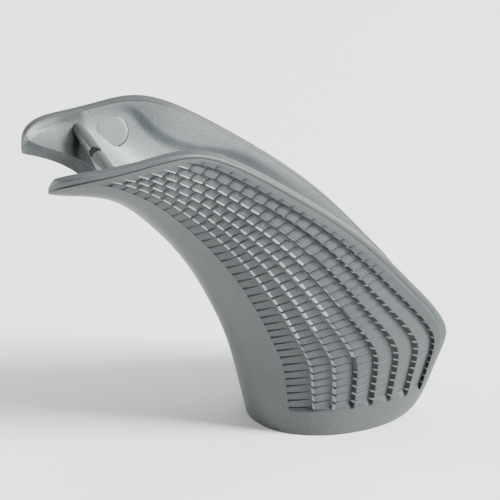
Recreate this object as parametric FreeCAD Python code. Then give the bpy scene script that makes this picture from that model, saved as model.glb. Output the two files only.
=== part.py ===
import FreeCAD, Part
import math
import os

# Grip backstrap: a rigid curved U-channel cover, mirror-symmetric about the XZ plane.
# X runs forward from the horns to the front edge, Y to the left, Z up from the heel rim.
# Every surface comes from one section that slides from the horns (s = 0) to the heel (s = 1).

OUT = "parts"
os.makedirs(OUT, exist_ok=True)

# Wall build-up, measured inward from the outer grip surface (mm).
SKIN_T = 1.2
FLANGE_IN = 0.25
WALL_IN = 2.4
LIP_IN = 3.1

# Free edge of the side wall: u, x, z.
EDGE = [
    (0.0, -39.5, 59.0),
    (0.02, -38.8, 60.8),
    (0.045, -37.1, 62.1),
    (0.12, -30.3, 63.3),
    (0.19, -23.5, 64.1),
    (0.26, -16.3, 64.8),
    (0.31, -11.4, 63.9),
    (0.36, -6.6, 61.7),
    (0.43, 0.3, 57.4),
    (0.52, 8.8, 51.4),
    (0.61, 17.4, 44.6),
    (0.68, 24.7, 37.6),
    (0.745, 31.7, 29.7),
    (0.79, 36.8, 23.4),
    (0.815, 38.8, 19.6),
    (0.84, 38.9, 16.6),
    (0.885, 37.5, 12.0),
    (0.93, 35.9, 6.9),
    (0.965, 34.2, 3.0),
    (0.985, 32.7, 1.1),
    (1.0, 31.0, 0.0),
]

# Spine centre line: u, x, z.
SPINE = [
    (0.0, -39.6, 55.9),
    (0.15, -27.9, 53.2),
    (0.3, -18.4, 45.4),
    (0.45, -11.3, 36.4),
    (0.6, -6.3, 27.2),
    (0.75, -2.5, 17.8),
    (0.88, -0.2, 9.0),
    (1.0, 1.9, 0.0),
]

# Section shape: u, half width, widest point as a share of the depth, roundness power.
SECTION = [
    (0.0, 10.3, 1.0, 2.0),
    (0.02, 12.7, 1.0, 2.0),
    (0.05, 15.0, 1.0, 2.0),
    (0.12, 16.6, 1.0, 2.0),
    (0.19, 16.8, 1.0, 2.1),
    (0.26, 16.6, 1.0, 2.2),
    (0.31, 15.8, 1.0, 2.3),
    (0.36, 15.2, 1.0, 2.3),
    (0.5, 14.8, 0.97, 2.3),
    (0.65, 14.3, 0.88, 2.3),
    (0.8, 13.8, 0.72, 2.2),
    (1.0, 13.6, 0.6, 2.15),
]

# Notch between the horns, an ellipse in plan: tip x, root x, half width. Its cut face leans back
# by NOTCH_LEAN (in u) per mm of depth below the outer surface.
NOTCH_TIP_X = -39.5
NOTCH_ROOT_X = -28.3
NOTCH_HALF_Y = 10.1
NOTCH_LEAN = 0.0125

# Band position across the wall: 0 on the spine centre line, 1 on the free edge.
# Line where the outer skin stops short of the edge: s, band.
SKIN_LINE = [
    (0.0, 0.82),
    (0.07, 0.89),
    (0.14, 0.935),
    (0.2, 0.96),
    (0.3, 0.976),
    (0.5, 0.98),
    (1.0, 0.98),
]

# Lower line of the thick inner lip: s, band.
LIP_LINE = [
    (0.0, 0.79),
    (0.07, 0.865),
    (0.14, 0.91),
    (0.19, 0.93),
    (0.216, 0.925),
    (0.25, 0.85),
    (0.28, 0.785),
    (0.32, 0.762),
    (0.36, 0.785),
    (0.385, 0.812),
    (0.447, 0.89),
    (0.52, 0.92),
    (1.0, 0.92),
]
# How much of the lip thickness is left: s, share.
LIP_SHARE = [(0.0, 0.3), (0.12, 0.25), (0.19, 0.3), (0.25, 1.0), (0.6, 1.0), (1.0, 1.0)]

# Tread rows, let into a pocket in the skin on each side wall. Each row ramps up to a crest level
# with the skin, then falls away to the pocket floor. Row lines are shares of the section depth.
ROW_COUNT = 8
ROW_RAMP = 0.28
ROW_FOOT = 0.05
CUTTER_RISE = -0.6
ROW_START = 0.103
ROW_START_STEP = 0.025
ROW_END = 0.938
ROW_FIRST = [
    (0.1, 0.785),
    (0.14, 0.64),
    (0.19, 0.473),
    (0.25, 0.347),
    (0.3, 0.293),
    (0.35, 0.268),
    (0.425, 0.247),
    (0.52, 0.231),
    (0.62, 0.21),
    (0.71, 0.19),
    (0.8, 0.177),
    (0.94, 0.176),
]
ROW_LAST = [
    (0.1, 1.55),
    (0.135, 1.38),
    (0.185, 1.225),
    (0.226, 1.05),
    (0.257, 0.965),
    (0.284, 0.915),
    (0.33, 0.888),
    (0.4, 0.882),
    (0.547, 0.889),
    (0.65, 0.881),
    (0.72, 0.884),
    (0.8, 0.9),
    (0.84, 0.92),
    (0.94, 0.945),
]
ROW_DEPTH = [(0.1, 0.5), (0.3, 0.55), (0.6, 0.7), (0.95, 0.9)]
ROW_MARGIN = [
    (0.1, 0.655),
    (0.16, 0.775),
    (0.208, 0.835),
    (0.257, 0.9),
    (0.29, 0.94),
    (0.36, 0.945),
    (0.7, 0.945),
    (0.84, 0.96),
    (0.94, 0.965),
]

# Studs: one coaxial pair across the channel.
STUD_X = -27.5
STUD_Z = 60.2
STUD_R = 1.25
STUD_ROOT_Y = 13.5
STUD_TIP_Y = 1.0
STUD_CHAMFER = 0.4

# Round ejector pads on the inside of the side walls.
PAD_R = 3.1
PAD_X = -21.1
PAD_Y = 13.1
PAD_Z = 59.1
PAD_LEAN = 28.5
PAD_RISE = 0.35

# Surface sampling along the part, denser towards the horns.
ALONG = 84
CROWDING = 0.5
SEW_TOL = 0.02


def spline(rows, column):
    """Natural cubic spline through one column of a table; returns a function of u."""
    x = [row[0] for row in rows]
    y = [row[column] for row in rows]
    n = len(x)
    gap = [x[i + 1] - x[i] for i in range(n - 1)]
    low = [0.0] * n
    rise = [0.0] * n
    for i in range(1, n - 1):
        slope = (y[i + 1] - y[i]) / gap[i] - (y[i] - y[i - 1]) / gap[i - 1]
        pivot = 2.0 * (gap[i - 1] + gap[i]) - gap[i - 1] * low[i - 1]
        low[i] = gap[i] / pivot
        rise[i] = (6.0 * slope - gap[i - 1] * rise[i - 1]) / pivot
    bend = [0.0] * n
    for i in range(n - 2, 0, -1):
        bend[i] = rise[i] - low[i] * bend[i + 1]

    def value(u):
        i = 0
        while i < n - 2 and u > x[i + 1]:
            i += 1
        b = (u - x[i]) / gap[i]
        a = 1.0 - b
        curve = (a ** 3 - a) * bend[i] + (b ** 3 - b) * bend[i + 1]
        return a * y[i] + b * y[i + 1] + curve * gap[i] ** 2 / 6.0

    return value


edge_x = spline(EDGE, 1)
edge_z = spline(EDGE, 2)
spine_x = spline(SPINE, 1)
spine_z = spline(SPINE, 2)
half_width = spline(SECTION, 1)
widest = spline(SECTION, 2)
power = spline(SECTION, 3)
skin_line = spline(SKIN_LINE, 1)
lip_line = spline(LIP_LINE, 1)
lip_share = spline(LIP_SHARE, 1)
row_first = spline(ROW_FIRST, 1)
row_last = spline(ROW_LAST, 1)
row_margin = spline(ROW_MARGIN, 1)
row_depth = spline(ROW_DEPTH, 1)


def point(u, t, inset):
    """Point at station u, band t (-1 right edge, +1 left edge) and depth inset below the skin."""
    sx = spine_x(u)
    sz = spine_z(u)
    dx = edge_x(u) - sx
    dz = edge_z(u) - sz
    depth = math.hypot(dx, dz)
    half = half_width(u)
    wide = min(widest(u), 1.0)
    share = 1.0 - math.cos(0.5 * math.pi * abs(t))
    ratio = share / wide
    run = depth * share
    side = half * math.sqrt(max(1.0 - abs(1.0 - ratio) ** power(u), 0.0))
    if ratio < 1.0:
        run += inset * (1.0 - ratio)
        side -= inset * side / half
    else:
        side -= inset
    return FreeCAD.Vector(sx + run * dx / depth, math.copysign(side, t), sz + run * dz / depth)


def notch_u(t):
    """Station where the outer surface meets the notch outline, found by bisection."""
    low = 0.0
    high = 0.3
    for _ in range(40):
        mid = 0.5 * (low + high)
        p = point(mid, t, 0.0)
        q = min(abs(p.y) / NOTCH_HALF_Y, 1.0)
        outline = NOTCH_ROOT_X - (NOTCH_ROOT_X - NOTCH_TIP_X) * (1.0 - math.sqrt(1.0 - q * q))
        if p.x < outline:
            low = mid
        else:
            high = mid
    return high


def shell_point(s, t, inset):
    """Like point(), but s = 0 lies on the notch's cut face and s = 1 on the heel rim."""
    start = notch_u(t) + NOTCH_LEAN * inset
    if inset > WALL_IN:
        inset = WALL_IN + (inset - WALL_IN) * lip_share(s)
    return point(start + (1.0 - start) * s, t, inset)


def mirrored(line):
    """The same band line on the right side."""
    return lambda s: -line(s)


def through(points, stations):
    """Cubic spline curve through points at given stations."""
    curve = Part.BSplineCurve()
    curve.interpolate(Points=points, Parameters=stations)
    return curve


def sheet(place, first, last, inset, across):
    """Spline surface between the band lines first(s) and last(s) at one depth.

    The stations are the same for every sheet, so neighbouring sheets share their border curve.
    """
    along_stations = []
    for i in range(ALONG + 1):
        x = i / ALONG
        along_stations.append(x * (1.0 - CROWDING * (1.0 - x)))
    across_stations = [j / across for j in range(across + 1)]
    columns = []
    for c in across_stations:
        line = [place(s, first(s) + (last(s) - first(s)) * c, inset) for s in along_stations]
        columns.append(through(line, along_stations))
    rows = []
    for poles in zip(*[column.getPoles() for column in columns]):
        rows.append(through(list(poles), across_stations))
    surface = Part.BSplineSurface()
    surface.buildFromPolesMultsKnots(
        [row.getPoles() for row in rows],
        columns[0].getMultiplicities(),
        rows[0].getMultiplicities(),
        columns[0].getKnots(),
        rows[0].getKnots(),
        False,
        False,
        3,
        3,
    )
    return surface


def borders(surface):
    """Boundary curves of a sheet: start, end, first line, last line."""
    u0, u1, v0, v1 = surface.bounds()
    return [surface.uIso(u0), surface.uIso(u1), surface.vIso(v0), surface.vIso(v1)]


def wall(lower, upper):
    """Straight-ruled face between two matching border curves."""
    surface = Part.BSplineSurface()
    surface.buildFromPolesMultsKnots(
        [lower.getPoles(), upper.getPoles()],
        [2, 2],
        lower.getMultiplicities(),
        [0.0, 1.0],
        lower.getKnots(),
        False,
        False,
        1,
        lower.Degree,
    )
    return surface.toShape()


def flat_end(lower, upper):
    """Plane face between two border curves that lie in the heel plane."""
    sides = [lower.toShape(), upper.toShape()]
    sides.append(Part.makeLine(lower.StartPoint, upper.StartPoint))
    sides.append(Part.makeLine(lower.EndPoint, upper.EndPoint))
    return Part.Face(Part.Wire(Part.__sortEdges__(sides)))


def layered_solid(place, lines, across, levels, filled, flat):
    """Solid made of the filled (band, level) cells, with the walls between them left out."""
    sheets = {}
    for band in range(len(lines) - 1):
        for level in range(len(levels)):
            if (band, level) in filled or (band, level - 1) in filled:
                surface = sheet(place, lines[band], lines[band + 1], levels[level], across[band])
                sheets[band, level] = surface
    faces = []
    for band, level in sorted(filled):
        lower = borders(sheets[band, level])
        upper = borders(sheets[band, level + 1])
        if (band, level - 1) not in filled:
            faces.append(sheets[band, level].toShape())
        if (band, level + 1) not in filled:
            faces.append(sheets[band, level + 1].toShape())
        if (band - 1, level) not in filled:
            faces.append(wall(lower[2], upper[2]))
        if (band + 1, level) not in filled:
            faces.append(wall(lower[3], upper[3]))
        faces.append(wall(lower[0], upper[0]))
        if flat:
            faces.append(flat_end(lower[1], upper[1]))
        else:
            faces.append(wall(lower[1], upper[1]))
    sewn = Part.makeCompound(faces)
    sewn.sewShape(SEW_TOL)
    solid = Part.Solid(sewn.Shells[0])
    if solid.Volume < 0:
        solid.reverse()
    return solid


def core_channel():
    """Hard inner shell: wall, proud flange along the edge and thick inner lip."""
    lines = [lambda s: -1.0, mirrored(skin_line), mirrored(lip_line), lip_line, skin_line, lambda s: 1.0]
    filled = {(band, 1) for band in range(5)}
    filled |= {(0, 0), (4, 0)}
    filled |= {(0, 2), (1, 2), (3, 2), (4, 2)}
    levels = [FLANGE_IN, SKIN_T, WALL_IN, LIP_IN]
    return layered_solid(shell_point, lines, [6, 10, 40, 10, 6], levels, filled, True)


def outer_skin():
    """Continuous outer layer that stops short of the free edge."""
    lines = [mirrored(skin_line), mirrored(lip_line), lip_line, skin_line]
    filled = {(0, 0), (1, 0), (2, 0)}
    return layered_solid(shell_point, lines, [10, 40, 10], [0.0, SKIN_T], filled, True)


def tread_point(s, r, inset):
    """Point of the tread field on the left wall: row line r (0 to ROW_COUNT), and depth at that
    station as a function of it."""
    start = ROW_START + ROW_START_STEP * r
    u = start + (ROW_END - start) * s
    last_line = ROW_COUNT - 1
    share = row_first(u) + (row_last(u) - row_first(u)) * min(r, last_line) / last_line
    if r > last_line:
        share += (row_margin(u) - share) * (r - last_line)
    return point(u, 2.0 / math.pi * math.acos(1.0 - share), inset(r, row_depth(u)))


def pocket_floor(r, depth):
    return depth


def above_skin(r, depth):
    return CUTTER_RISE


def tread_top(r, depth):
    """Depth of the tread surface: a foot at each row line, a crest after the ramp, the last row level."""
    row = min(int(r + 1e-9), ROW_COUNT - 1)
    across = r - row
    if row > 0 and across < ROW_RAMP:
        return (depth - ROW_FOOT) * (1.0 - across / ROW_RAMP)
    if row == ROW_COUNT - 1:
        return 0.0
    crest = ROW_RAMP if row > 0 else 0.0
    return (depth - ROW_FOOT) * (across - crest) / (1.0 - crest)


def row_line(r):
    return lambda s: r


def tread_pocket():
    """Cutter for the pocket in the left side of the skin."""
    lines = [row_line(0.0), row_line(float(ROW_COUNT))]
    return layered_solid(tread_point, lines, [32], [above_skin, pocket_floor], {(0, 0)}, False)


def tread_row(row):
    """One row of the grip tread on the left wall."""
    crest = row + (ROW_RAMP if row > 0 else 0.5)
    lines = [row_line(float(row)), row_line(crest), row_line(row + 1.0 - 1e-6)]
    return layered_solid(tread_point, lines, [4, 6], [tread_top, pocket_floor], {(0, 0), (1, 0)}, False)


def stud(side):
    """Round pin that stands inward from one side wall."""
    length = STUD_ROOT_Y - STUD_TIP_Y
    root = FreeCAD.Vector(STUD_X, side * STUD_ROOT_Y, STUD_Z)
    body = Part.makeCylinder(STUD_R, length, root, FreeCAD.Vector(0, -side, 0))
    rim = [edge for edge in body.Edges if edge.BoundBox.YLength < 0.01 and abs(edge.BoundBox.YMin) < 5.0]
    return body.makeChamfer(STUD_CHAMFER, rim)


def pad(side):
    """Round ejector pad, square to the side wall."""
    lean = math.radians(PAD_LEAN)
    normal = FreeCAD.Vector(0, -side * math.cos(lean), math.sin(lean))
    base = FreeCAD.Vector(PAD_X, side * PAD_Y, PAD_Z) - normal
    return Part.makeCylinder(PAD_R, 1.0 + PAD_RISE, base, normal)


SIDES = {"left": 1, "right": -1}
MID_PLANE = FreeCAD.Vector(0, 1, 0)

nodes = {}
pocket = tread_pocket()
skin = outer_skin().cut(pocket).cut(pocket.mirror(FreeCAD.Vector(), MID_PLANE))
nodes["outer_skin"] = skin
core = core_channel()
for row in range(ROW_COUNT):
    left = tread_row(row)
    nodes["left_tread_" + str(row + 1)] = left
    nodes["right_tread_" + str(row + 1)] = left.mirror(FreeCAD.Vector(), MID_PLANE)
for name, side in SIDES.items():
    nodes[name + "_stud"] = stud(side)
    core = core.fuse(pad(side))
    core = core.cut(nodes[name + "_stud"])
nodes["core_channel"] = core

for name, shape in nodes.items():
    solids = shape.Solids
    print(name, len(solids), shape.isValid(), round(shape.Volume, 1), shape.BoundBox)
    solids[0].exportStep(os.path.join(OUT, name + ".step"))
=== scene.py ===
import math

import bpy
import numpy as np
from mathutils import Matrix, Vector


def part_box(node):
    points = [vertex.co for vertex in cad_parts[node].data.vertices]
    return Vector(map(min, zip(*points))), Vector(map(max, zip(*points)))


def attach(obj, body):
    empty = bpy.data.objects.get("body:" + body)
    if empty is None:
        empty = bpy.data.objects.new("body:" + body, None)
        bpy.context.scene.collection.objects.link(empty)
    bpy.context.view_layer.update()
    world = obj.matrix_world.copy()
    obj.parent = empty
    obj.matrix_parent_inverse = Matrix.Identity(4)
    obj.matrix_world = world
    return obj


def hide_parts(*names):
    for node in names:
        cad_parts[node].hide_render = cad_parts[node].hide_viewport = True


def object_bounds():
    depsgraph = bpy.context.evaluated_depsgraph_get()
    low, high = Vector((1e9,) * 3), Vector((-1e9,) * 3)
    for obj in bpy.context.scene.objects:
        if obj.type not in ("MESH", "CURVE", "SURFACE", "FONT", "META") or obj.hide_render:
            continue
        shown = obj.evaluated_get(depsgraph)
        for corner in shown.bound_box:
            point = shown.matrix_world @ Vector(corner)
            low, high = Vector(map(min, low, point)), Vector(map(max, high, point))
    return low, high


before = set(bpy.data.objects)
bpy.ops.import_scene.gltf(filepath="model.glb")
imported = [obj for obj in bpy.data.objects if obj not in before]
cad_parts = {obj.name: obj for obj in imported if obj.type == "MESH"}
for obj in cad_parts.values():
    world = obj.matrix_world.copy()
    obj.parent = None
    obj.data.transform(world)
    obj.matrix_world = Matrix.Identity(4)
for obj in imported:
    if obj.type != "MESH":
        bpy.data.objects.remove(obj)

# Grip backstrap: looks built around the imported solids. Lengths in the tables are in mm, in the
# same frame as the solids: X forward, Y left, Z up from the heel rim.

cad_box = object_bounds()
MM = 0.001

# ---------------------------------------------------------------- shape of the grip surface
# Free edge and spine curves: station u from the horn tips (0) to the heel (1), X, Z.
EDGE = [
    (0.0, -39.5, 59.0), (0.02, -38.8, 60.8), (0.045, -37.1, 62.1), (0.12, -30.3, 63.3),
    (0.19, -23.5, 64.1), (0.26, -16.3, 64.8), (0.31, -11.4, 63.9), (0.36, -6.6, 61.7),
    (0.43, 0.3, 57.4), (0.52, 8.8, 51.4), (0.61, 17.4, 44.6), (0.68, 24.7, 37.6),
    (0.745, 31.7, 29.7), (0.79, 36.8, 23.4), (0.815, 38.8, 19.6), (0.84, 38.9, 16.6),
    (0.885, 37.5, 12.0), (0.93, 35.9, 6.9), (0.965, 34.2, 3.0), (0.985, 32.7, 1.1),
    (1.0, 31.0, 0.0),
]
SPINE = [
    (0.0, -39.6, 55.9), (0.15, -27.9, 53.2), (0.3, -18.4, 45.4), (0.45, -11.3, 36.4),
    (0.6, -6.3, 27.2), (0.75, -2.5, 17.8), (0.88, -0.2, 9.0), (1.0, 1.9, 0.0),
]
# Cross section: station, half width, share of the depth where it is widest, roundness power.
SECTION = [
    (0.0, 10.3, 1.0, 2.0), (0.02, 12.7, 1.0, 2.0), (0.05, 15.0, 1.0, 2.0),
    (0.12, 16.6, 1.0, 2.0), (0.19, 16.8, 1.0, 2.1), (0.26, 16.6, 1.0, 2.2),
    (0.31, 15.8, 1.0, 2.3), (0.36, 15.2, 1.0, 2.3), (0.5, 14.8, 0.97, 2.3),
    (0.65, 14.3, 0.88, 2.3), (0.8, 13.8, 0.72, 2.2), (1.0, 13.6, 0.6, 2.15),
]

# Wall build-up, measured inward from the grip surface.
SKIN_T = 1.2
FLANGE_IN = 0.25
WALL_IN = 2.4
LIP_IN = 3.1
NOTCH_TIP_X = -39.5
NOTCH_ROOT_X = -28.3
NOTCH_HALF_Y = 10.1
NOTCH_LEAN = 0.0125
NOTCH_LAST_U = 0.3
BISECTION_STEPS = 40
# Band lines, 0 on the spine and 1 on the free edge: where the skin stops, and the lower line of
# the lip.
SKIN_LINE = [
    (0.0, 0.82), (0.07, 0.89), (0.14, 0.935), (0.2, 0.96), (0.3, 0.976), (0.5, 0.98),
    (1.0, 0.98),
]
LIP_LINE = [
    (0.0, 0.79), (0.07, 0.865), (0.14, 0.91), (0.19, 0.93), (0.216, 0.925), (0.25, 0.85),
    (0.28, 0.785), (0.32, 0.762), (0.36, 0.785), (0.385, 0.812), (0.447, 0.89), (0.52, 0.92),
    (1.0, 0.92),
]
# How much of the extra lip thickness is present at each station.
LIP_SHARE = [(0.0, 0.3), (0.12, 0.25), (0.19, 0.3), (0.25, 1.0), (0.6, 1.0), (1.0, 1.0)]

# Tread field: eight rows on each wall.
ROW_COUNT = 8
ROW_START = 0.103
ROW_START_STEP = 0.025
ROW_END = 0.938
# Share of the section depth against station: first row line, last row line, margin line.
ROW_FIRST = [
    (0.1, 0.785), (0.14, 0.64), (0.19, 0.473), (0.25, 0.347), (0.3, 0.293), (0.35, 0.268),
    (0.425, 0.247), (0.52, 0.231), (0.62, 0.21), (0.71, 0.19), (0.8, 0.177), (0.94, 0.176),
]
ROW_LAST = [
    (0.1, 1.55), (0.135, 1.38), (0.185, 1.225), (0.226, 1.05), (0.257, 0.965), (0.284, 0.915),
    (0.33, 0.888), (0.4, 0.882), (0.547, 0.889), (0.65, 0.881), (0.72, 0.884), (0.8, 0.9),
    (0.84, 0.92), (0.94, 0.945),
]
ROW_MARGIN = [
    (0.1, 0.655), (0.16, 0.775), (0.208, 0.835), (0.257, 0.9), (0.29, 0.94), (0.36, 0.945),
    (0.7, 0.945), (0.84, 0.96), (0.94, 0.965),
]
# Depth of a row in mm against station.
ROW_DEPTH = [(0.1, 0.5), (0.3, 0.55), (0.6, 0.7), (0.95, 0.9)]
# Tile count along the first row, from the top of the field down to each station.
TILE_COUNT = [
    (0.096, 0.0), (0.186, 3.05), (0.296, 7.05), (0.421, 12.0), (0.518, 16.0), (0.618, 20.0),
    (0.706, 24.0), (0.785, 28.0), (0.867, 32.0), (0.94, 35.6),
]
# Tick lines: tick number, how far it has moved down the wall at the last row, and how much it
# bows down between the first row and the last, in tiles of the first row.
TICK_LINE = [
    (0.0, -2.0, 0.1), (2.0, -1.6, 0.16), (5.0, -1.2, 0.35), (8.0, -0.72, 0.81),
    (11.0, -0.2, 0.79), (14.0, 0.0, 0.6), (20.0, -0.3, 0.43), (25.0, -1.5, 0.35),
    (30.0, -2.9, 0.0), (35.0, -4.4, -0.1), (42.0, -6.6, 0.0),
]
# Slant of a tick across one row (first row, last row), in tiles of the first row.
TICK_SLANT = [
    (0.0, 0.45, 0.45), (5.0, 0.7, 0.4), (10.0, 0.85, 0.3), (20.0, 0.7, 0.2), (25.0, 0.5, 0.05),
    (30.0, 0.15, 0.0), (36.0, 0.05, 0.0), (42.0, 0.0, 0.0),
]


def spline(rows, column):
    """Natural cubic spline through one column of a table, as a function of arrays."""
    x = np.array([row[0] for row in rows])
    y = np.array([row[column] for row in rows])
    gap = np.diff(x)
    n = len(x)
    matrix = np.eye(n)
    rhs = np.zeros(n)
    for i in range(1, n - 1):
        matrix[i, i - 1:i + 2] = gap[i - 1], 2.0 * (gap[i - 1] + gap[i]), gap[i]
        rhs[i] = 6.0 * ((y[i + 1] - y[i]) / gap[i] - (y[i] - y[i - 1]) / gap[i - 1])
    bend = np.linalg.solve(matrix, rhs)

    def value(u):
        u = np.asarray(u, float)
        i = np.clip(np.searchsorted(x, u) - 1, 0, n - 2)
        b = (u - x[i]) / gap[i]
        a = 1.0 - b
        curve = (a ** 3 - a) * bend[i] + (b ** 3 - b) * bend[i + 1]
        return a * y[i] + b * y[i + 1] + curve * gap[i] ** 2 / 6.0

    return value


edge_x, edge_z = spline(EDGE, 1), spline(EDGE, 2)
spine_x, spine_z = spline(SPINE, 1), spline(SPINE, 2)
half_width, widest, power = (spline(SECTION, column) for column in (1, 2, 3))
row_first, row_last = spline(ROW_FIRST, 1), spline(ROW_LAST, 1)
row_margin, row_depth = spline(ROW_MARGIN, 1), spline(ROW_DEPTH, 1)
tile_count = spline(TILE_COUNT, 1)
skin_line, lip_line, lip_share = spline(SKIN_LINE, 1), spline(LIP_LINE, 1), spline(LIP_SHARE, 1)
tick_tilt, tick_bow = spline(TICK_LINE, 1), spline(TICK_LINE, 2)
slant_first, slant_last = spline(TICK_SLANT, 1), spline(TICK_SLANT, 2)


def grip_point(u, share, inset):
    """Points (mm) on the left wall at station u, share of the section depth, and depth inset."""
    sx, sz = spine_x(u), spine_z(u)
    dx, dz = edge_x(u) - sx, edge_z(u) - sz
    depth = np.hypot(dx, dz)
    half = half_width(u)
    ratio = share / np.minimum(widest(u), 1.0)
    side = half * np.sqrt(np.clip(1.0 - np.abs(1.0 - ratio) ** power(u), 0.0, None))
    run = depth * share + np.where(ratio < 1.0, inset * (1.0 - ratio), 0.0)
    side = side - np.where(ratio < 1.0, inset * side / half, inset)
    return np.stack([sx + run * dx / depth, side, sz + run * dz / depth], -1)


def tread_place(u, r):
    """Share of the section depth at station u on row line r."""
    last = ROW_COUNT - 1
    first_line, last_line = row_first(u), row_last(u)
    share = first_line + (last_line - first_line) * np.minimum(r, last) / last
    return share + np.where(r > last, (row_margin(u) - share) * (r - last), 0.0)


def band_share(band):
    """Share of the section depth at a band position."""
    return 1.0 - np.cos(0.5 * math.pi * np.clip(band, 0.0, 1.0))


def notch_station(share):
    """Station where the grip surface meets the notch outline, by bisection."""
    low = np.zeros_like(share)
    high = np.full_like(share, NOTCH_LAST_U)
    for _ in range(BISECTION_STEPS):
        middle_u = 0.5 * (low + high)
        place = grip_point(middle_u, share, 0.0)
        q = np.minimum(np.abs(place[..., 1]) / NOTCH_HALF_Y, 1.0)
        outline = NOTCH_ROOT_X - (NOTCH_ROOT_X - NOTCH_TIP_X) * (1.0 - np.sqrt(1.0 - q * q))
        short = place[..., 0] < outline
        low = np.where(short, middle_u, low)
        high = np.where(short, high, middle_u)
    return high


# ---------------------------------------------------------------- helpers
def mesh_piece(name, points, faces, material, smooth_angle=32.0):
    """Smooth-shaded object from points in mm; edges above smooth_angle degrees stay sharp."""
    mesh = bpy.data.meshes.new(name)
    mesh.from_pydata([tuple(p) for p in np.asarray(points) * MM], [], faces)
    mesh.validate()
    mesh.update()
    for polygon in mesh.polygons:
        polygon.use_smooth = True
    mesh.set_sharp_from_angle(angle=math.radians(smooth_angle))
    obj = bpy.data.objects.new(name, mesh)
    bpy.context.scene.collection.objects.link(obj)
    obj.data.materials.append(material)
    return obj


def slab(top, floor, flip):
    """Closed mesh between two point grids of the same size."""
    rows, columns = top.shape[:2]
    points = np.concatenate([top.reshape(-1, 3), floor.reshape(-1, 3)])
    count = rows * columns

    def index(i, j, lower=False):
        return i * columns + j + (count if lower else 0)

    faces = []
    for i in range(rows - 1):
        for j in range(columns - 1):
            faces.append((index(i, j), index(i + 1, j), index(i + 1, j + 1), index(i, j + 1)))
            faces.append((index(i, j, True), index(i, j + 1, True),
                          index(i + 1, j + 1, True), index(i + 1, j, True)))
    for i in range(rows - 1):
        faces.append((index(i, 0), index(i, 0, True), index(i + 1, 0, True), index(i + 1, 0)))
        k = columns - 1
        faces.append((index(i, k), index(i + 1, k), index(i + 1, k, True), index(i, k, True)))
    for j in range(columns - 1):
        faces.append((index(0, j), index(0, j + 1), index(0, j + 1, True), index(0, j, True)))
        k = rows - 1
        faces.append((index(k, j), index(k, j, True), index(k, j + 1, True), index(k, j + 1)))
    if flip:
        faces = [face[::-1] for face in faces]
    return points, faces


# ---------------------------------------------------------------- materials
# Noise: size of the broad mottle and of the fine specks, and the band of noise values used.
MOTTLE_MM = 14.0
SPECK_MM = 0.28
NOISE_LOW, NOISE_HIGH = 0.3, 0.7
# Painted shade in crevices: reach and sample count, openness from full shade to none, and tone
# against dark.
CAVITY_MM = 0.6
CAVITY_SAMPLES = 8
CAVITY_BAND = (0.25, 0.75)
CREVICE_SHADE_TONE = 0.22
# Lighter edges, partly worn and partly painted highlight: radius and sample count, cosine of the
# turn from none to full lightening, least openness that lets it show, and tone against light.
BEVEL_MM = 0.09
BEVEL_SAMPLES = 6
WEAR_HIGHLIGHT_TURN = (0.995, 0.93)
WEAR_HIGHLIGHT_OPEN = (0.6, 0.85)
WEAR_HIGHLIGHT_TONE = 1.9
# Painted shadow of the studs inside the channel, a soft dark patch: edges along X and Y, what is
# left of it past the far X edge and the Y edge, and its colour.
STUD_SHADOW_X = (-25.6, -26.9, -29.8, -32.2)
STUD_SHADOW_Y = (10.5, 13.0)
STUD_SHADOW_LEFT_X = 0.55
STUD_SHADOW_LEFT_Y = 0.6
STUD_SHADOW_COLOUR = (0.006, 0.007, 0.007)
# Gloss: how far grain and mottle change the roughness, and the specular level.
GRAIN_GLOSS = 0.06
MOTTLE_GLOSS = 0.03
SPECULAR = 0.35


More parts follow.
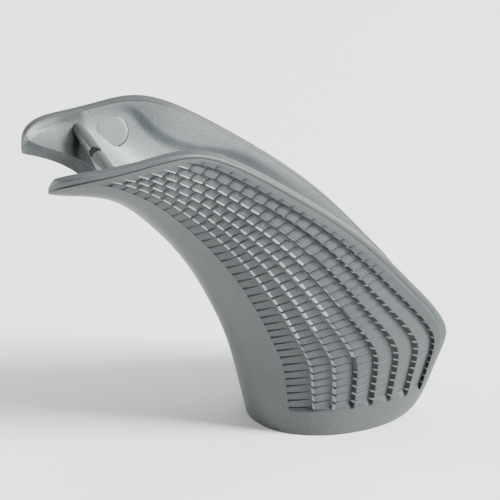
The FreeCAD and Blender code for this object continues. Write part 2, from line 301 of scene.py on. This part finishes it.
def polymer(name, dark, light, roughness, grain_mm, grain_height, speckle, wear_highlight, crevice_shade, stud_shadow=0.0):
    """Moulded polymer: mottled colour, fine spark grain, painted shade in crevices, edges lighter
    where worn and as painted highlight.
    """
    material = bpy.data.materials.new(name)
    material.use_nodes = True
    nodes, links = material.node_tree.nodes, material.node_tree.links
    nodes.clear()
    out = nodes.new("ShaderNodeOutputMaterial")
    shader = nodes.new("ShaderNodeBsdfPrincipled")
    links.new(shader.outputs["BSDF"], out.inputs["Surface"])
    place = nodes.new("ShaderNodeTexCoord").outputs["Object"]

    def noise(size_mm, detail, rough):
        node = nodes.new("ShaderNodeTexNoise")
        node.inputs["Scale"].default_value = 1.0 / (size_mm * MM)
        node.inputs["Detail"].default_value = detail
        node.inputs["Roughness"].default_value = rough
        links.new(place, node.inputs["Vector"])
        return node.outputs["Fac"]

    def ramp(fac, low, high, first, last):
        node = nodes.new("ShaderNodeMapRange")
        node.inputs["From Min"].default_value = low
        node.inputs["From Max"].default_value = high
        node.inputs["To Min"].default_value = first
        node.inputs["To Max"].default_value = last
        links.new(fac, node.inputs["Value"])
        return node.outputs["Result"]

    def math_node(operation, first, second):
        node = nodes.new("ShaderNodeMath")
        node.operation = operation
        links.new(first, node.inputs[0])
        links.new(second, node.inputs[1])
        return node.outputs[0]

    def mix(fac, first, second):
        node = nodes.new("ShaderNodeMix")
        node.data_type = "RGBA"
        links.new(fac, node.inputs["Factor"])
        for socket, value in (("A", first), ("B", second)):
            target = [s for s in node.inputs if s.name == socket and s.type == "RGBA"][0]
            if isinstance(value, tuple):
                target.default_value = value + (1.0,)
            else:
                links.new(value, target)
        return [s for s in node.outputs if s.type == "RGBA"][0]

    mottle = noise(MOTTLE_MM, 3.0, 0.55)
    specks = noise(SPECK_MM, 4.0, 0.75)
    broad = ramp(mottle, NOISE_LOW, NOISE_HIGH, 0.3, 0.7)
    fine = ramp(specks, NOISE_LOW, NOISE_HIGH, -speckle, speckle)
    colour = mix(math_node("ADD", broad, fine), dark, light)
    # Painted shade: spots that ambient occlusion finds hollow are darkened towards a dark tone.
    cavity = nodes.new("ShaderNodeAmbientOcclusion")
    cavity.samples = CAVITY_SAMPLES
    cavity.inputs["Distance"].default_value = CAVITY_MM * MM
    hollow = cavity.outputs["AO"]
    crevice_shaded = ramp(hollow, *CAVITY_BAND, crevice_shade, 0.0)
    colour = mix(crevice_shaded, colour, tuple(CREVICE_SHADE_TONE * c for c in dark))
    # Painted shadow: a soft dark patch inside the channel below the studs, placed by object
    # position.
    if stud_shadow:
        split = nodes.new("ShaderNodeSeparateXYZ")
        links.new(place, split.inputs[0])
        aside = nodes.new("ShaderNodeMath")
        aside.operation = "ABSOLUTE"
        links.new(split.outputs["Y"], aside.inputs[0])
        near = ramp(split.outputs["X"], STUD_SHADOW_X[0] * MM, STUD_SHADOW_X[1] * MM, 0.0, stud_shadow)
        far = ramp(split.outputs["X"], STUD_SHADOW_X[2] * MM, STUD_SHADOW_X[3] * MM, 1.0, STUD_SHADOW_LEFT_X)
        side = ramp(aside.outputs[0], STUD_SHADOW_Y[0] * MM, STUD_SHADOW_Y[1] * MM, 1.0, STUD_SHADOW_LEFT_Y)
        shadow_patch = math_node("MULTIPLY", math_node("MULTIPLY", near, far), side)
        colour = mix(shadow_patch, colour, STUD_SHADOW_COLOUR)
    # Lighter edges, as wear and as painted highlight, where the bevel normal turns away from the
    # true normal on open spots.
    bevel = nodes.new("ShaderNodeBevel")
    bevel.samples = BEVEL_SAMPLES
    bevel.inputs["Radius"].default_value = BEVEL_MM * MM
    geometry = nodes.new("ShaderNodeNewGeometry")
    turn = nodes.new("ShaderNodeVectorMath")
    turn.operation = "DOT_PRODUCT"
    links.new(bevel.outputs["Normal"], turn.inputs[0])
    links.new(geometry.outputs["Normal"], turn.inputs[1])
    edges = ramp(turn.outputs["Value"], *WEAR_HIGHLIGHT_TURN, 0.0, wear_highlight)
    exposed = ramp(hollow, *WEAR_HIGHLIGHT_OPEN, 0.0, 1.0)
    wear_highlight_mask = math_node("MULTIPLY", edges, exposed)
    colour = mix(wear_highlight_mask, colour, tuple(min(1.0, c * WEAR_HIGHLIGHT_TONE) for c in light))
    links.new(colour, shader.inputs["Base Color"])
    grain = noise(grain_mm, 3.0, 0.6)
    fine_gloss = ramp(grain, NOISE_LOW, NOISE_HIGH, roughness - GRAIN_GLOSS,
                      roughness + GRAIN_GLOSS)
    broad_gloss = ramp(mottle, NOISE_LOW, NOISE_HIGH, -MOTTLE_GLOSS, MOTTLE_GLOSS)
    links.new(math_node("ADD", fine_gloss, broad_gloss), shader.inputs["Roughness"])
    bump = nodes.new("ShaderNodeBump")
    bump.inputs["Strength"].default_value = 1.0
    bump.inputs["Distance"].default_value = grain_height * MM
    links.new(grain, bump.inputs["Height"])
    links.new(bevel.outputs["Normal"], bump.inputs["Normal"])
    links.new(bump.outputs["Normal"], shader.inputs["Normal"])
    shader.inputs["Specular IOR Level"].default_value = SPECULAR
    return material


skin_look = polymer(
    "grip_polymer", dark=(0.056, 0.065, 0.066), light=(0.084, 0.096, 0.097),
    roughness=0.42, grain_mm=0.32, grain_height=0.03, speckle=0.55, wear_highlight=0.3, crevice_shade=0.6)
tile_look = polymer(
    "tread_polymer", dark=(0.043, 0.052, 0.053), light=(0.063, 0.075, 0.076),
    roughness=0.42, grain_mm=0.3, grain_height=0.03, speckle=0.8, wear_highlight=0.5, crevice_shade=0.15)
# Painted shade: a near-black copy of the polymer for the dark tread lines, the dark ramps, the
# stud ends and the pad outlines.
painted_shade_look = polymer(
    "painted_shade_polymer", dark=(0.012, 0.014, 0.0145), light=(0.02, 0.023, 0.0235),
    roughness=0.5, grain_mm=0.3, grain_height=0.02, speckle=0.3, wear_highlight=0.2, crevice_shade=0.3)
# Painted light: a much lighter copy of the polymer for the lit ramps and the light ribs between
# the dark ramps.
painted_light_look = polymer(
    "painted_light_polymer", dark=(0.25, 0.275, 0.277), light=(0.36, 0.39, 0.392),
    roughness=0.34, grain_mm=0.3, grain_height=0.02, speckle=0.5, wear_highlight=0.5, crevice_shade=0.2)
# The channel's inside: the grey polymer in a lighter copy, standing in as painted light on the
# lit inner walls.
lit_core_look = polymer(
    "core_polymer", dark=(0.17, 0.192, 0.194), light=(0.255, 0.28, 0.283),
    roughness=0.4, grain_mm=0.42, grain_height=0.06, speckle=0.9, wear_highlight=0.5, crevice_shade=0.6,
    stud_shadow=0.99)
stud_look = polymer(
    "stud_polymer", dark=(0.07, 0.077, 0.076), light=(0.1, 0.108, 0.107),
    roughness=0.24, grain_mm=0.3, grain_height=0.002, speckle=0.08, wear_highlight=0.3, crevice_shade=0.5)
# Places of the extra materials on a piece; its own look is material 0.
RIM_LOOK = 1
# Slot of the painted shade on stud ends and pad outlines.
SHADED_END_SLOT = 1
# Slot of the painted light material.
PAINTED_LIGHT_SLOT = 1
# Slot of the painted shade material.
PAINTED_SHADE_SLOT = 2

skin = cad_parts["outer_skin"]
skin.data.materials.clear()
skin.data.materials.append(skin_look)

# ---------------------------------------------------------------- core channel
RIM_R = 0.4
RIM_STEPS = 6
# Insets of the two faces at the middle of the rim, where they meet.
RIM_MIDDLE_OUT = 1.5
RIM_MIDDLE_IN = 1.6
# Shallow groove beside the skin edge, and how far the core's outer face lies under the skin.
SKIN_GAP = 0.06
GROOVE_IN = 0.31
GROOVE_SHOULDER = 0.06
UNDER_SKIN = 0.02
# The lip runs out into the wall over this width of the band, in this many steps.
LIP_BLEND = 0.1
LIP_STEPS = 7
HALF_COLUMNS = 42
CORE_ROWS = 221
# Columns beside each free edge that wear the skin's look on the inner face.
RIM_COLUMNS = 6


def core_section(line):
    """Half section from the free edge to the spine: (share, inset) arrays for both faces."""
    depth = np.hypot(edge_x(line) - spine_x(line), edge_z(line) - spine_z(line))
    lip = WALL_IN + (LIP_IN - WALL_IN) * lip_share(line)
    skin_stop = band_share(skin_line(line))
    flange_stop = skin_stop + SKIN_GAP / depth
    same = np.ones_like(depth)
    outer = [(same, RIM_MIDDLE_OUT * same)]
    inner = [(same, RIM_MIDDLE_IN * same)]
    for k in range(RIM_STEPS):
        turn = 0.5 * math.pi * k / (RIM_STEPS - 1.0)
        below = RIM_R * (1.0 - math.cos(turn))
        aside = RIM_R * (1.0 - math.sin(turn))
        outer.append((1.0 - below / depth, (FLANGE_IN + aside) * same))
        inner.append((1.0 - below / depth, lip - aside))
    rounded = 1.0 - RIM_R / depth
    for k in (0.5, 1.0):
        outer.append((rounded + (flange_stop - rounded) * k, FLANGE_IN * same))
    outer.append((flange_stop - 0.02 / depth, (FLANGE_IN + GROOVE_SHOULDER) * same))
    outer.append((flange_stop - 0.03 / depth, GROOVE_IN * same))
    outer.append((skin_stop + 0.02 / depth, GROOVE_IN * same))
    outer.append((skin_stop + 0.01 / depth, (SKIN_T + UNDER_SKIN) * same))
    lip_stop = band_share(lip_line(line) + 0.5 * LIP_BLEND)
    lip_stop = np.minimum(lip_stop, rounded - 0.01)
    foot = band_share(lip_line(line) - 0.5 * LIP_BLEND)
    for k in (0.5, 1.0):
        inner.append((rounded + (lip_stop - rounded) * k, lip))
    for k in range(1, LIP_STEPS + 1):
        x = k / LIP_STEPS
        fall = x * x * (3.0 - 2.0 * x)
        inner.append((lip_stop + (foot - lip_stop) * x, lip + (WALL_IN - lip) * fall))
    outer_band = 2.0 / math.pi * np.arccos(1.0 - outer[-1][0])
    inner_band = 2.0 / math.pi * np.arccos(1.0 - foot)
    for path, band, inset in ((outer, outer_band, SKIN_T + UNDER_SKIN),
                              (inner, inner_band, WALL_IN)):
        left = HALF_COLUMNS - len(path)
        for k in range(1, left + 1):
            path.append((band_share(band * (1.0 - k / left)), inset * same))
    return outer, inner


def core_grids():
    """Point grids of the outer and inner face, closer together near the notch."""
    x = np.linspace(0.0, 1.0, CORE_ROWS)
    line = x * (1.0 - 0.5 * (1.0 - x))
    outer, inner = core_section(line)
    grids = []
    for path in (outer, inner):
        share = np.clip(np.stack([p for p, _ in path], 1), 0.0, 1.0)
        inset = np.stack([i for _, i in path], 1)
        start = notch_station(share[0])[None, :] + NOTCH_LEAN * inset
        u = start + (1.0 - start) * line[:, None]
        half = grip_point(u, share, inset)
        other = half[:, -2::-1] * np.array([1.0, -1.0, 1.0])
        grids.append(np.concatenate([half, other], 1))
    return grids


outer, inner = core_grids()
points, faces = slab(outer, inner, True)
core = mesh_piece("core_shell", points, faces, lit_core_look, 40.0)
# The rim faces take the skin's darker tone; the inner walls keep the lighter, painted-light copy.
core.data.materials.append(skin_look)
columns = outer.shape[1]
for polygon in core.data.polygons:
    column = min(vertex % columns for vertex in polygon.vertices)
    column = min(column, columns - 2 - column)
    if min(polygon.vertices) < outer.shape[0] * columns or column < RIM_COLUMNS:
        polygon.material_index = RIM_LOOK
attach(core, "root")
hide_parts("core_channel")

# ---------------------------------------------------------------- tread rows
# Lines across one row. The step from 0.25 back to 0.24 is a fault: it folds a narrow strip of
# each ramped row over itself.
ACROSS_RAMP = [
    0.0, 0.02, 0.05, 0.09, 0.13, 0.18, 0.22, 0.25, 0.24, 0.34, 0.48, 0.64, 0.8, 0.92, 0.97, 1.0,
]
ACROSS_FLUSH = [0.0, 0.02, 0.05, 0.1, 0.2, 0.34, 0.5, 0.65, 0.8, 0.92, 0.97, 1.0]
# Lines down one tile: fixed place, and how far it moves with the width of the tick's two flanks.
ALONG_TILE = [
    (0.0, 0.0), (0.0, 0.35), (0.0, 0.7), (0.0, 1.0), (0.42, 0.0), (0.66, 0.0), (1.0, -1.0),
    (1.0, -0.65), (1.0, -0.3),
]
# Strips by the line they start at: the flat of a tile, the two strips at the bottom of a tick,
# and those two with one more up the steep flank.
FLAT_KINDS = (3, 4, 5)
TICK_KINDS = (0, 8)
RIB_KINDS = (0, 7, 8)
FLAT_KIND = 4
LAST_TILE = 44
# Across one row: the ramp climbs from FOOT to CREST, and the tile falls from there to its end.
FOOT = 0.05
CREST = 0.22
TILE_END = 0.97
RAMP_DEPTH = 0.94
FLUSH_DROP = 0.07
# Ticks: width of the soft and the steep flank in tiles, how both narrow along the tile, depth
# in mm, the share of it lost by the last row, and what fades out down the field.
TICK_SOFT = 0.22
TICK_STEEP = 0.1
TICK_TAPER = 0.75
TICK_CUT = 0.42
TICK_CUT_LOSS = 0.4
TICK_CUT_POWER = 0.6
TICK_CUT_FADE = 0.24
TICK_FADE_TILE = 20.0
TICK_FADE_TILES = 10.0
BOW_POWER = 0.75
RAMP_CUT = 0.4
# Place down the tile given to the two end lines of a row, clear of any tick.
OPEN_PLACE = 0.6
# Ramp tones, painted light then painted shade down the field. The four values are: the row index,
# the tile count there up to which its ramps are painted light, how many tiles sooner each later
# row changes, and how many tiles past the change the ramps keep the tile's own look before the
# painted shade starts.
LIT_RAMP_ROW = 3
LIT_RAMP_TILES = 31.0
LIT_RAMP_STEP = 6.0
SHADED_RAMP_GAP = 1.5
# Well before the change, and before tile BROAD_TILE, the painted light on the ramps reaches this
# much broader.
BROAD_TILE = 26.0
BROAD_RAMP = 0.08
# Past the change, painted light ribs stand between the painted shade ramps from this tile on.
RIB_TILE = 20.0
# Painted shade along the tick lines: on rows before FINE_ROW or tiles before FINE_TILE, up to
# TICK_LINE_END.
FINE_ROW = 4
FINE_TILE = 26.0
TICK_LINE_END = 0.8
# Painted shade along the row lines at the foot and at the tile's end: whole from these row
# indices on, and in earlier rows only near or past the change.
FOOT_ROW = 4
END_ROW = 3
# Ends of a row: where lines may start and stop, and the blend to the skin, in stations.
START_CLEAR = 0.002
END_CLEAR = 0.001
START_GAP = 0.001
END_GAP = 0.0002
END_BLEND = 0.01
STATIONS = np.linspace(0.09, 0.96, 6000)
COUNTS = tile_count(STATIONS)


def tile_relief(row, p, q, depth, cut, notch):
    """Depth below the skin on one tile: p runs across the row, q down the tile."""
    crest = CREST if row else 0.0
    fall = np.clip((p - crest) / (1.0 - crest), 0.0, 1.0)
    climb = np.clip((p - FOOT) / (crest - FOOT), 0.0, 1.0) if row else np.ones_like(p)
    taper = 1.0 - TICK_TAPER * fall
    groove = np.clip(1.0 - q / (TICK_SOFT * taper), 0.0, 1.0)
    groove = groove + np.clip(1.0 - (1.0 - q) / (TICK_STEEP * taper), 0.0, 1.0)
    deep = RAMP_DEPTH * depth
    top = 0.0 if row else FLUSH_DROP
    drop = 0.0 if row == ROW_COUNT - 1 else deep - top
    after = top + drop * fall + cut * groove * (1.0 - fall) ** TICK_CUT_POWER
    crest_depth = top + notch * np.clip(2.0 * groove, 0.0, 1.0)
    before = deep + (crest_depth - deep) * climb
    return np.where(p < crest, before, np.minimum(after, depth))


def station(count):
    """Station of a tile count along the first row."""
    return np.interp(count, COUNTS, STATIONS)


def tread_mesh(row):
    """One tread row on the left wall: grids of its face and underside, material per face."""
    p = np.array(ACROSS_RAMP if row else ACROSS_FLUSH)[None, :]
    crest = CREST if row else 0.0
    taper = 1.0 - TICK_TAPER * np.clip((p - crest) / (1.0 - crest), 0.0, 1.0)
    tiles, q, kinds = [], [], []
    for tile in range(row, LAST_TILE):
        for kind, (place, move) in enumerate(ALONG_TILE):
            width = TICK_SOFT if move > 0 else TICK_STEEP
            q.append((place + move * width * taper)[0])
            tiles.append(tile)
            kinds.append(kind)
    q, kinds = np.array(q), np.array(kinds)
    ticks = np.array(tiles)[:, None] + q
    spread = row / (ROW_COUNT - 1.0)
    bow = np.sin(math.pi * spread ** BOW_POWER)
    moved = ticks + spread * tick_tilt(ticks) + bow * tick_bow(ticks)
    slant = slant_first(ticks) + spread * (slant_last(ticks) - slant_first(ticks))
    u = station(moved + slant * p)
    begin = ROW_START + ROW_START_STEP * (row + p)
    inside = (u[:, 0] > begin[0, 0] + START_CLEAR) & (u[:, 0] < ROW_END - END_CLEAR)
    u, q, ticks, kinds = u[inside], q[inside], ticks[inside], kinds[inside]
    end = np.full_like(begin, ROW_END)
    u = np.concatenate([begin, np.clip(u, begin + START_GAP, ROW_END - END_GAP), end])
    open_line = np.full_like(begin, OPEN_PLACE)
    q = np.concatenate([open_line, q, open_line])
    fade = np.clip((ticks - TICK_FADE_TILE) / TICK_FADE_TILES, 0.0, 1.0)
    fade = np.concatenate([fade[:1], fade, fade[-1:]])
    cut = TICK_CUT * (1.0 - TICK_CUT_LOSS * spread) - TICK_CUT_FADE * spread * fade
    count = np.concatenate([ticks[:1, 0], ticks[:, 0], ticks[-1:, 0]])[:, None]
    past = count + LIT_RAMP_STEP * (row - LIT_RAMP_ROW) - LIT_RAMP_TILES
    notch = np.where(past < 0.0, RAMP_CUT, 0.0)
    across = np.broadcast_to(p, u.shape)
    share = np.clip(tread_place(u, row + across), 0.0, 1.0)
    depth = row_depth(u)
    level = np.clip((u - begin) / END_BLEND, 0.0, 1.0)
    level = level * np.clip((ROW_END - u) / END_BLEND, 0.0, 1.0)
    top = grip_point(u, share, level * tile_relief(row, across, q, depth, cut, notch))
    floor = grip_point(u, share, SKIN_T)

    count, past = count[:-1], past[:-1]
    kinds = np.concatenate([[FLAT_KIND], kinds])[:, None]
    middle_p = 0.5 * (p[:, :-1] + p[:, 1:])
    broad = (past < -LIT_RAMP_STEP) & (count < BROAD_TILE)
    ramp = (middle_p > FOOT) & (row > 0)
    ramp = ramp & (middle_p < np.where(broad, CREST + BROAD_RAMP, CREST))
    face = ramp & np.isin(kinds, FLAT_KINDS)
    # Masks for the painted shade along the row lines and the tick lines.
    dark_foot = (row >= FOOT_ROW) | (past > 0.0)
    dark_end = (row < ROW_COUNT - 1) & ((row >= END_ROW) | (past > -LIT_RAMP_STEP))
    row_line = (middle_p < FOOT) & (row > 0) & dark_foot
    row_line = row_line | ((middle_p > TILE_END) & dark_end)
    fine = (row < FINE_ROW) | (count < FINE_TILE)
    tick_line = np.isin(kinds, TICK_KINDS) & (middle_p > crest) & (middle_p < TICK_LINE_END)
    lit_rib = ramp & (past > SHADED_RAMP_GAP) & (count > RIB_TILE) & np.isin(kinds, RIB_KINDS)
    # Material slots: painted light on the early ramp faces and ribs, painted shade on the later
    # ramp faces, the row lines and the tick lines.
    slots = np.zeros(np.broadcast(count, middle_p).shape, int)
    for zone, look in ((face & (past < 0.0), PAINTED_LIGHT_SLOT), (face & (past > SHADED_RAMP_GAP), PAINTED_SHADE_SLOT),
                       (row_line | (tick_line & fine), PAINTED_SHADE_SLOT), (lit_rib, PAINTED_LIGHT_SLOT)):
        slots[np.broadcast_to(zone, slots.shape)] = look
    return top, floor, slots


for row in range(ROW_COUNT):
    top, floor, slots = tread_mesh(row)
    for side, sign in (("left", 1.0), ("right", -1.0)):
        turn = np.array([1.0, sign, 1.0])
        points, faces = slab(top * turn, floor * turn, sign > 0)
        piece = mesh_piece("tiles_%s_%d" % (side, row + 1), points, faces, tile_look)
        piece.data.materials.append(painted_light_look)
        piece.data.materials.append(painted_shade_look)
        columns = top.shape[1]
        for polygon in piece.data.polygons:
            if max(polygon.vertices) < top.shape[0] * columns:
                first = min(polygon.vertices)
                polygon.material_index = int(slots[first // columns, first % columns])
        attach(piece, "root")
        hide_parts("%s_tread_%d" % (side, row + 1))

# ---------------------------------------------------------------- studs
STUD_R = 1.25
STUD_TURNS = 48
# Rings of the rounded end, which carries painted shade; the smallest ring leaves a flat, closed
# tip.
STUD_END = 6
TIP_R = 0.02
STUD_PROFILE = [
    (TIP_R, 0.12), (0.35, 0.1), (0.75, 0.03), (0.95, 0.02), (1.12, 0.1), (1.21, 0.24),
    (STUD_R, 0.45),
]


def lathe(profile, axis_point, direction, turns):
    """Closed turned solid; profile is (radius, distance along direction)."""
    direction = np.array(direction, float)
    one = np.array([1.0, 0.0, 0.0])
    two = np.cross(direction, one)
    points, faces = [], []
    for radius, along in profile:
        for k in range(turns):
            angle = 2.0 * math.pi * k / turns
            spoke = math.cos(angle) * one + math.sin(angle) * two
            points.append(axis_point + direction * along + radius * spoke)
    for i in range(len(profile) - 1):
        for k in range(turns):
            n = (k + 1) % turns
            faces.append((i * turns + k, i * turns + n, (i + 1) * turns + n, (i + 1) * turns + k))
    faces.append(tuple(range(turns))[::-1])
    faces.append(tuple((len(profile) - 1) * turns + k for k in range(turns)))
    return np.array(points), faces


for side, sign in (("left", 1.0), ("right", -1.0)):
    low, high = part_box("%s_stud" % side)
    centre_x = 0.5 * (low[0] + high[0]) / MM
    centre_z = 0.5 * (low[2] + high[2]) / MM
    tip = (low[1] if sign > 0 else high[1]) / MM
    root = (high[1] if sign > 0 else low[1]) / MM
    profile = STUD_PROFILE + [(STUD_R, abs(root - tip))]
    tip_centre = np.array([centre_x, tip, centre_z])
    points, faces = lathe(profile, tip_centre, (0.0, sign, 0.0), STUD_TURNS)
    piece = mesh_piece("stud_%s" % side, points, faces, stud_look, 50.0)
    piece.data.materials.append(painted_shade_look)
    # Painted shade on the stud's rounded end.
    for polygon in piece.data.polygons:
        if max(polygon.vertices) < STUD_END * STUD_TURNS:
            polygon.material_index = SHADED_END_SLOT
    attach(piece, "root")
    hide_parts("%s_stud" % side)

# ---------------------------------------------------------------- ejector pads
# Witness disc on each wall: centre on the left wall, lean of its axis in degrees, and the first
# ring of its outline, which carries painted shade.
PAD_PLACE = (-21.1, 13.1, 59.1)
PAD_LEAN = 28.5
PAD_RING = 5
PAD_TURNS = 72
PAD_PROFILE = [
    (TIP_R, -0.3), (1.2, -0.31), (2.4, -0.33), (2.9, -0.32), (3.04, -0.26), (3.08, -0.14),
    (3.32, -0.1), (3.25, 1.2),
]
for side, sign in (("left", 1.0), ("right", -1.0)):
    lean = math.radians(PAD_LEAN)
    inward = np.array([0.0, sign * math.cos(lean), -math.sin(lean)])
    centre = np.array([PAD_PLACE[0], sign * PAD_PLACE[1], PAD_PLACE[2]])
    points, faces = lathe(PAD_PROFILE, centre, inward, PAD_TURNS)
    piece = mesh_piece("pad_%s" % side, points, faces, lit_core_look, 35.0)
    piece.data.materials.append(painted_shade_look)
    # Painted shade on the outline rings of the disc.
    for polygon in piece.data.polygons:
        if min(polygon.vertices) >= PAD_RING * PAD_TURNS:
            polygon.material_index = SHADED_END_SLOT
    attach(piece, "root")

# ---------------------------------------------------------------- floor, light, camera
FLOOR_HALF = 3
FLOOR_TONE = 0.93
WORLD_STRENGTH = 0.32

floor_look = bpy.data.materials.new("pale_floor")
floor_look.use_nodes = True
floor_shader = floor_look.node_tree.nodes["Principled BSDF"]
floor_shader.inputs["Base Color"].default_value = (FLOOR_TONE,) * 3 + (1.0,)
floor_shader.inputs["Roughness"].default_value = 0.9
floor_mesh = bpy.data.meshes.new("floor")
floor_mesh.from_pydata([(-FLOOR_HALF, -FLOOR_HALF, 0), (FLOOR_HALF, -FLOOR_HALF, 0),
                        (FLOOR_HALF, FLOOR_HALF, 0), (-FLOOR_HALF, FLOOR_HALF, 0)],
                       [], [(0, 1, 2, 3)])
floor = bpy.data.objects.new("floor", floor_mesh)
bpy.context.scene.collection.objects.link(floor)
floor.data.materials.append(floor_look)

world = bpy.data.worlds.new("studio")
bpy.context.scene.world = world
world.use_nodes = True
sky = world.node_tree.nodes["Background"]
sky.inputs["Color"].default_value = (1.0, 1.0, 1.0, 1.0)
sky.inputs["Strength"].default_value = WORLD_STRENGTH

middle = (Vector(cad_box[0]) + Vector(cad_box[1])) / 2.0


def softbox(name, place, size, power_w):
    """Square area light at a place in metres from the middle of the part, turned to face it."""
    light = bpy.data.lights.new(name, "AREA")
    light.shape = "SQUARE"
    light.size = size
    light.energy = power_w
    obj = bpy.data.objects.new(name, light)
    obj.location = middle + Vector(place)
    obj.rotation_euler = (middle - obj.location).to_track_quat("-Z", "Y").to_euler()
    bpy.context.scene.collection.objects.link(obj)


softbox("overhead", (0.2, 0.3, 1.6), 1.2, 19.0)
softbox("key", (1.5, -0.75, 1.15), 0.6, 135.0)
softbox("right_low", (1.7, -0.7, 0.5), 0.8, 26.0)
softbox("rear_left", (-1.3, 1.1, 0.4), 0.8, 24.0)

AZIMUTH = -19.0
ELEVATION = 25.0
DISTANCE = 0.4
SENSOR_MM = 36.0
LENS_MM = 149.2
CLIP_START = 0.01
AIM = Vector((0.00225, 0.0, 0.0363))
azimuth, elevation = math.radians(AZIMUTH), math.radians(ELEVATION)
back = Vector((math.sin(azimuth) * math.cos(elevation),
               -math.cos(azimuth) * math.cos(elevation),
               math.sin(elevation)))
camera_data = bpy.data.cameras.new("camera")
camera_data.sensor_width = SENSOR_MM
camera_data.lens = LENS_MM
camera_data.clip_start = CLIP_START
camera = bpy.data.objects.new("camera", camera_data)
camera.location = AIM + back * DISTANCE
camera.rotation_euler = (-back).to_track_quat("-Z", "Y").to_euler()
bpy.context.scene.collection.objects.link(camera)
bpy.context.scene.camera = camera
